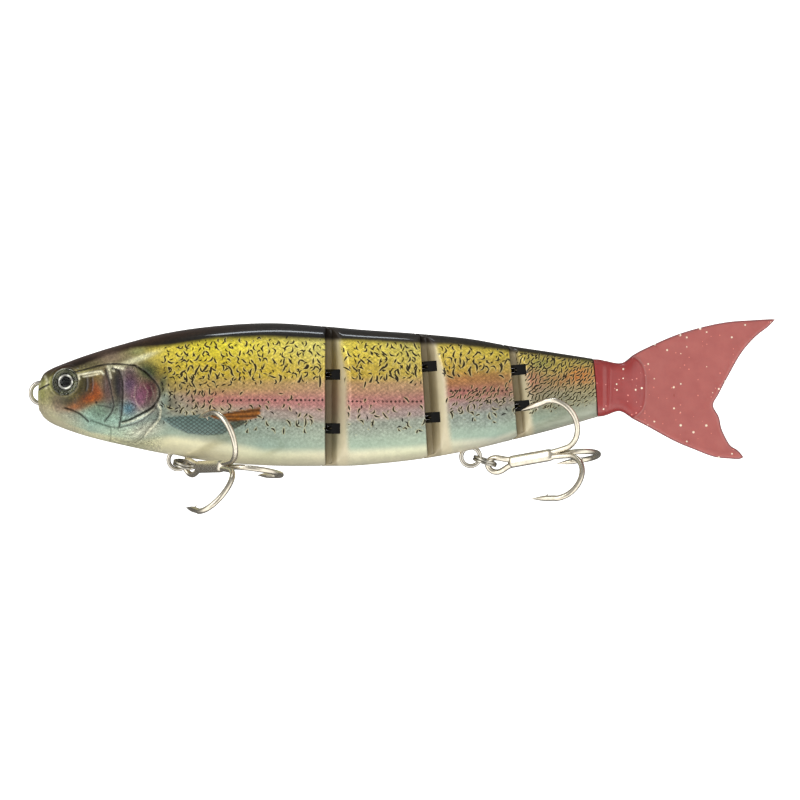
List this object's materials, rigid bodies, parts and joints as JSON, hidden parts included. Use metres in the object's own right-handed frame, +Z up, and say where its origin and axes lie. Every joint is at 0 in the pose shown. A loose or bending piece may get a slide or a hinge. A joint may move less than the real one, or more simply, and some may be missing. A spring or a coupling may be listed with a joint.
{
  "type": "jointed swimbait",
  "caption": "Hard jointed trout swimbait with hinged body sections, a soft forked tail, a line tie and belly treble hooks on split rings.",
  "frame": {"origin": "centre of the line tie's ring at the nose", "axes": "+X from the nose to the tail, +Z up through the back, the fish's left flank faces -Y"},
  "size_m": [0.2199, 0.0451, 0.0565],
  "materials": {
    "printed_shell": "trout pattern printed on foil under a thick clear gloss coat",
    "ballast_metal": "dull grey cast weight",
    "eye_print": "foil disc printed with a white ring and a black pupil",
    "eye_lens": "clear polished dome",
    "wire_steel": "drawn stainless wire",
    "ring_steel": "bright nickel over flat coiled wire",
    "hook_steel": "satin tin, warm silver",
    "insert_plastic": "moulded",
    "soft_tail": "translucent red soft plastic with fine white glitter"
  },
  "bodies": {
    "head": {"head_shell_left": "printed_shell", "head_shell_right": "printed_shell", "head_ballast": "ballast_metal", "eye_iris_left": "eye_print", "eye_iris_right": "eye_print", "eye_lens_left": "eye_lens", "eye_lens_right": "eye_lens", "front_hinge_eye_upper": "wire_steel", "front_hinge_eye_lower": "wire_steel", "line_tie": "wire_steel", "front_hook_hanger": "wire_steel"},
    "front_body": {"front_body_shell_left": "printed_shell", "front_body_shell_right": "printed_shell", "front_body_ballast": "ballast_metal", "front_hinge_pin": "wire_steel", "middle_hinge_eye_upper": "wire_steel", "middle_hinge_eye_lower": "wire_steel"},
    "rear_body": {"rear_body_shell_left": "printed_shell", "rear_body_shell_right": "printed_shell", "rear_body_ballast": "ballast_metal", "middle_hinge_pin": "wire_steel", "rear_hinge_eye_upper": "wire_steel", "rear_hinge_eye_lower": "wire_steel", "rear_hook_hanger": "wire_steel"},
    "tail_section": {"tail_section_shell_left": "printed_shell", "tail_section_shell_right": "printed_shell", "rear_hinge_pin": "wire_steel", "tail_insert": "insert_plastic", "tail_pin": "wire_steel", "tail_root": "soft_tail"},
    "tail_blade": {"tail_blade": "soft_tail"},
    "front_ring": {"front_split_ring": "ring_steel"},
    "front_treble": {"front_treble_hook": "hook_steel"},
    "rear_ring": {"rear_split_ring": "ring_steel"},
    "rear_treble": {"rear_treble_hook": "hook_steel"}
  },
  "joints": [
    {"name": "front_hinge", "type": "hinge", "parent": "head", "child": "front_body", "pos_m": [0.0856, 0, 0], "axis": [0, 0, 1], "range_deg": [-28, 28]},
    {"name": "middle_hinge", "type": "hinge", "parent": "front_body", "child": "rear_body", "pos_m": [0.1144, 0, 0], "axis": [-0.0645, 0, 0.9979], "range_deg": [-28, 28]},
    {"name": "rear_hinge", "type": "hinge", "parent": "rear_body", "child": "tail_section", "pos_m": [0.1407, 0, 0], "axis": [-0.0976, 0, 0.9952], "range_deg": [-28, 28]},
    {"name": "tail_flex", "type": "hinge", "parent": "tail_section", "child": "tail_blade", "pos_m": [0.1786, 0, 0.002], "axis": [0, 0, 1], "range_deg": [-30, 30], "stiffness_Nm_per_rad": 0.01},
    {"name": "front_ring_swing", "type": "hinge", "parent": "head", "child": "front_ring", "pos_m": [0.0403, 0, -0.0197], "axis": [0, 1, 0], "range_deg": [-5, 90]},
    {"name": "front_treble_swivel", "type": "hinge", "parent": "front_ring", "child": "front_treble", "pos_m": [0.04258, -0.0014, -0.02095], "axis": [0.188, -0.188, 0.964], "range_deg": [-50, 22]},
    {"name": "rear_ring_swing", "type": "hinge", "parent": "rear_body", "child": "rear_ring", "pos_m": [0.1265, 0, -0.01875], "axis": [0, 1, 0], "range_deg": [-12, 140]},
    {"name": "rear_treble_swivel", "type": "hinge", "parent": "rear_ring", "child": "rear_treble", "pos_m": [0.1307, 0.00012, -0.02009], "axis": [0.3111, -0.061, 0.9484], "range_deg": [-65, 20]}
  ]
}
